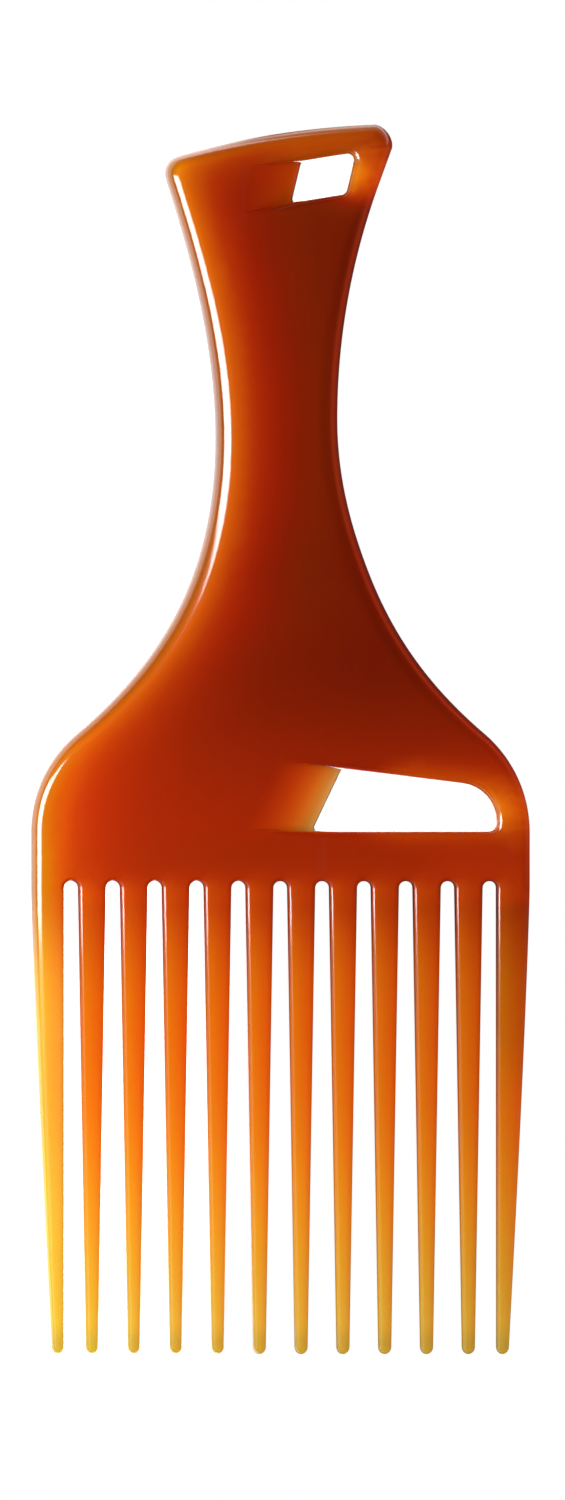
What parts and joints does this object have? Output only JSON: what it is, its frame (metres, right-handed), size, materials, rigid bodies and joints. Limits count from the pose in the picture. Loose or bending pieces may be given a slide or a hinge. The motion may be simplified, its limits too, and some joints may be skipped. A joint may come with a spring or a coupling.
{
  "type": "afro pick",
  "caption": "Wide-tooth hair pick in translucent amber plastic, with a flared flat handle, a hang opening, a finger opening with thumb scoop, and long tapered teeth.",
  "frame": {"origin": "centre of the part's box in X and Y, on the plane of the flat back face", "axes": "+Z out of the front face, +Y along the handle away from the teeth, +X to the right in the front view"},
  "size_m": [0.0772, 0.1903, 0.0064],
  "materials": {
    "amber_plastic": "clear-hazy translucent amber moulding, polished; thin stretches read yellow and thick ones dark red-orange"
  },
  "bodies": {
    "root": {"pommel": "amber_plastic", "hang_rail": "amber_plastic", "hang_post": "amber_plastic", "grip": "amber_plastic", "neck": "amber_plastic", "shoulders": "amber_plastic", "palm": "amber_plastic", "finger_post": "amber_plastic", "crossbar": "amber_plastic", "guard_tooth_left": "amber_plastic", "guard_tooth_right": "amber_plastic", "tooth_01": "amber_plastic", "tooth_02": "amber_plastic", "tooth_03": "amber_plastic", "tooth_04": "amber_plastic", "tooth_05": "amber_plastic", "tooth_06": "amber_plastic", "tooth_07": "amber_plastic", "tooth_08": "amber_plastic", "tooth_09": "amber_plastic", "tooth_10": "amber_plastic"}
  },
  "joints": []
}
